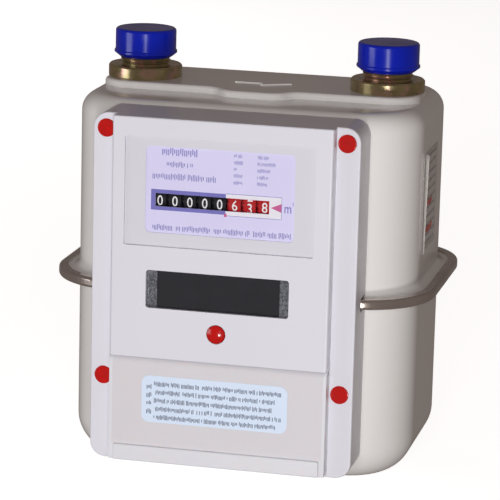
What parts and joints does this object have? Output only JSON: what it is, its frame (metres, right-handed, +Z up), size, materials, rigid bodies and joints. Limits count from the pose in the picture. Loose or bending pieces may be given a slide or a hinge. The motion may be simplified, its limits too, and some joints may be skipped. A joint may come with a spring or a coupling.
{
  "type": "diaphragm gas meter",
  "caption": "Card-operated domestic diaphragm gas meter: pressed steel case, capped top connections, and a front housing with index, display, button and battery flap.",
  "frame": {"origin": "centre of the flat bottom face of the case, directly under the plane of the two pipe connections", "axes": "+Z up through the connections, +X from inlet to outlet, -Y out through the front housing towards the reader"},
  "size_m": [0.1998, 0.167, 0.2212],
  "materials": {
    "white_enamel": "glossy stoving enamel",
    "seam_strip": "dark rolled strip, glossy",
    "rubber_gasket": "matt",
    "yellow_zinc": "turned, yellow chromate",
    "blue_cap": "glossy",
    "foam": "matt foam",
    "grey_moulding": "moulded",
    "white_abs": "satin moulded",
    "steel": "bright",
    "red_plug": "glossy",
    "clear_window": "clear polycarbonate",
    "dial_print": "printed lilac sheet",
    "drum_black": "printed figures",
    "drum_red": "printed figures",
    "natural_acetal": "moulded gear plastic",
    "lcd_dark": "dark display glass",
    "board": "solder mask",
    "spring_steel": "bright",
    "battery_wrap": "shrink sleeve",
    "nickel": "plated",
    "black_abs": "moulded",
    "flap_clear": "frosted polycarbonate",
    "unit_casting": "glass filled moulding",
    "diaphragm_cloth": "rubber coated cloth",
    "disc_plate": "stamped",
    "phenolic": "lapped moulding"
  },
  "bodies": {
    "meter_case": {"back_diaphragm": "diaphragm_cloth", "battery_cells": "battery_wrap", "battery_contacts": "nickel", "battery_tray": "grey_moulding", "button_spring": "spring_steel", "card_reader": "black_abs", "carry_pinions": "natural_acetal", "chamber_body": "unit_casting", "chamber_covers": "unit_casting", "circuit_board": "board", "cover_screws": "steel", "dial_plate": "dial_print", "drum_shaft": "steel", "front_cover": "white_abs", "front_diaphragm": "diaphragm_cloth", "housing_base": "grey_moulding", "housing_gasket": "foam", "index_frame": "black_abs", "index_window": "clear_window", "inlet_spigot": "yellow_zinc", "lcd_module": "lcd_dark", "lcd_window": "clear_window", "lower_case": "white_enamel", "outlet_pipe": "unit_casting", "outlet_spigot": "yellow_zinc", "seal_plugs": "red_plug", "seam_band": "seam_strip", "seam_gasket": "rubber_gasket", "shaft_gland": "nickel", "upper_case": "white_enamel", "valve_body": "unit_casting", "valve_motor": "steel", "valve_table": "unit_casting"},
    "inlet_cap": {"inlet_cap": "blue_cap"},
    "outlet_cap": {"outlet_cap": "blue_cap"},
    "flap": {"flap": "flap_clear"},
    "display_button": {"display_button": "red_plug"},
    "crank": {"crank": "natural_acetal"},
    "drive_shaft": {"drive_shaft": "steel"},
    "input_gear": {"input_gear": "natural_acetal"},
    "valve_screw": {"valve_screw": "steel"},
    "valve_disc": {"valve_disc": "rubber_gasket"},
    "drum_1": {"drum_1": "drum_black"},
    "drum_2": {"drum_2": "drum_black"},
    "drum_3": {"drum_3": "drum_black"},
    "drum_4": {"drum_4": "drum_black"},
    "drum_5": {"drum_5": "drum_black"},
    "drum_6": {"drum_6": "drum_red"},
    "drum_7": {"drum_7": "drum_red"},
    "drum_8": {"drum_8": "drum_red"},
    "front_disc": {"front_disc": "disc_plate"},
    "front_flag_rod": {"front_flag_rod": "steel"},
    "front_long_link": {"front_long_link": "steel"},
    "front_short_link": {"front_short_link": "steel"},
    "front_slide_valve": {"front_slide_valve": "phenolic"},
    "back_disc": {"back_disc": "disc_plate"},
    "back_flag_rod": {"back_flag_rod": "steel"},
    "back_long_link": {"back_long_link": "steel"},
    "back_short_link": {"back_short_link": "steel"},
    "back_slide_valve": {"back_slide_valve": "phenolic"}
  },
  "joints": [
    {"name": "inlet_cap_lift", "type": "slide", "parent": "meter_case", "child": "inlet_cap", "axis": [0, 0, 1], "range_m": [0, 0.06]},
    {"name": "outlet_cap_lift", "type": "slide", "parent": "meter_case", "child": "outlet_cap", "axis": [0, 0, 1], "range_m": [0, 0.06]},
    {"name": "flap_hinge", "type": "hinge", "parent": "meter_case", "child": "flap", "pos_m": [0, -0.0902, 0.0643], "axis": [-1, 0, 0], "range_deg": [0, 90]},
    {"name": "button_press", "type": "slide", "parent": "meter_case", "child": "display_button", "axis": [0, 1, 0], "range_m": [0, 0.0012], "stiffness_N_per_m": 150, "springref_m": -0.002, "deforming": ["button_spring"]},
    {"name": "crank_turn", "type": "hinge", "parent": "meter_case", "child": "crank", "pos_m": [0.03, 0, 0.137], "axis": [0, 0, 1], "continuous": true},
    {"name": "drive_shaft_turn", "type": "hinge", "parent": "meter_case", "child": "drive_shaft", "pos_m": [0.03, -0.035, 0.137], "axis": [0, 1, 0], "continuous": true},
    {"name": "input_gear_turn", "type": "hinge", "parent": "meter_case", "child": "input_gear", "pos_m": [0.0335, -0.08, 0.137], "axis": [1, 0, 0], "continuous": true},
    {"name": "drum_1_turn", "type": "hinge", "parent": "meter_case", "child": "drum_1", "pos_m": [0, -0.08, 0.149], "axis": [1, 0, 0], "continuous": true},
    {"name": "drum_2_turn", "type": "hinge", "parent": "meter_case", "child": "drum_2", "pos_m": [0, -0.08, 0.149], "axis": [1, 0, 0], "continuous": true},
    {"name": "drum_3_turn", "type": "hinge", "parent": "meter_case", "child": "drum_3", "pos_m": [0, -0.08, 0.149], "axis": [1, 0, 0], "continuous": true},
    {"name": "drum_4_turn", "type": "hinge", "parent": "meter_case", "child": "drum_4", "pos_m": [0, -0.08, 0.149], "axis": [1, 0, 0], "continuous": true},
    {"name": "drum_5_turn", "type": "hinge", "parent": "meter_case", "child": "drum_5", "pos_m": [0, -0.08, 0.149], "axis": [1, 0, 0], "continuous": true},
    {"name": "drum_6_turn", "type": "hinge", "parent": "meter_case", "child": "drum_6", "pos_m": [0, -0.08, 0.149], "axis": [1, 0, 0], "continuous": true},
    {"name": "drum_7_turn", "type": "hinge", "parent": "meter_case", "child": "drum_7", "pos_m": [0, -0.08, 0.149], "axis": [1, 0, 0], "continuous": true},
    {"name": "drum_8_turn", "type": "hinge", "parent": "meter_case", "child": "drum_8", "pos_m": [0, -0.08, 0.149], "axis": [1, 0, 0], "continuous": true},
    {"name": "front_flag_swing", "type": "hinge", "parent": "meter_case", "child": "front_flag_rod", "pos_m": [-0.038, -0.009, 0.06], "axis": [0, 0, 1], "range_deg": [-3.85, 22.19]},
    {"name": "front_disc_stroke", "type": "slide", "parent": "meter_case", "child": "front_disc", "axis": [0, 1, 0], "range_m": [-0.0023, 0.01318], "deforming": ["front_diaphragm"]},
    {"name": "front_valve_slide", "type": "slide", "parent": "meter_case", "child": "front_slide_valve", "axis": [-0.7071, -0.7071, 0], "range_m": [-0.01617, 0.00282]},
    {"name": "front_long_link_swing", "type": "hinge", "parent": "front_flag_rod", "child": "front_long_link", "pos_m": [-0.0132, -0.0432, 0.156], "axis": [0, 0, 1], "range_deg": [-22.2, 3.86]},
    {"name": "front_short_link_swing", "type": "hinge", "parent": "front_slide_valve", "child": "front_short_link", "pos_m": [0.00126, -0.02874, 0.152], "axis": [0, 0, 1], "range_deg": [-27.24, 4.74]},
    {"name": "back_flag_swing", "type": "hinge", "parent": "meter_case", "child": "back_flag_rod", "pos_m": [-0.038, 0.009, 0.06], "axis": [0, 0, 1], "range_deg": [-22.19, 3.85]},
    {"name": "back_disc_stroke", "type": "slide", "parent": "meter_case", "child": "back_disc", "axis": [0, 1, 0], "range_m": [-0.01318, 0.0023], "deforming": ["back_diaphragm"]},
    {"name": "back_valve_slide", "type": "slide", "parent": "meter_case", "child": "back_slide_valve", "axis": [-0.7071, 0.7071, 0], "range_m": [-0.01617, 0.00282]},
    {"name": "back_long_link_swing", "type": "hinge", "parent": "back_flag_rod", "child": "back_long_link", "pos_m": [-0.0132, 0.0432, 0.156], "axis": [0, 0, 1], "range_deg": [-3.86, 22.2]},
    {"name": "back_short_link_swing", "type": "hinge", "parent": "back_slide_valve", "child": "back_short_link", "pos_m": [0.00126, 0.02874, 0.152], "axis": [0, 0, 1], "range_deg": [-4.74, 27.24]},
    {"name": "valve_screw_turn", "type": "hinge", "parent": "meter_case", "child": "valve_screw", "pos_m": [-0.065, 0, 0.16], "axis": [0, 0, 1], "range_deg": [0, 1801]},
    {"name": "valve_disc_lift", "type": "slide", "parent": "meter_case", "child": "valve_disc", "axis": [0, 0, 1], "range_m": [0, 0.008]}
  ],
  "couplings": [
    {"joint": "drive_shaft_turn", "follows": "crank_turn", "ratio": -1},
    {"joint": "input_gear_turn", "follows": "crank_turn", "ratio": 0.36},
    {"joint": "drum_1_turn", "follows": "crank_turn", "ratio": -0.000000012},
    {"joint": "drum_2_turn", "follows": "crank_turn", "ratio": -0.00000012},
    {"joint": "drum_3_turn", "follows": "crank_turn", "ratio": -0.0000012},
    {"joint": "drum_4_turn", "follows": "crank_turn", "ratio": -0.000012},
    {"joint": "drum_5_turn", "follows": "crank_turn", "ratio": -0.00012},
    {"joint": "drum_6_turn", "follows": "crank_turn", "ratio": -0.0012},
    {"joint": "drum_7_turn", "follows": "crank_turn", "ratio": -0.012},
    {"joint": "drum_8_turn", "follows": "crank_turn", "ratio": -0.12},
    {"joint": "front_disc_stroke", "follows": "front_flag_swing", "m_per_rad": 0.034},
    {"joint": "front_valve_slide", "follows": "front_flag_swing", "m_per_rad": -0.041719},
    {"joint": "front_long_link_swing", "follows": "front_flag_swing", "ratio": -1},
    {"joint": "front_short_link_swing", "follows": "back_flag_swing", "ratio": 1.227},
    {"joint": "back_disc_stroke", "follows": "back_flag_swing", "m_per_rad": 0.034},
    {"joint": "back_valve_slide", "follows": "back_flag_swing", "m_per_rad": 0.041719},
    {"joint": "back_long_link_swing", "follows": "back_flag_swing", "ratio": -1},
    {"joint": "back_short_link_swing", "follows": "front_flag_swing", "ratio": 1.227},
    {"joint": "valve_screw_turn", "follows": "valve_disc_lift", "rad_per_m": 3927}
  ]
}
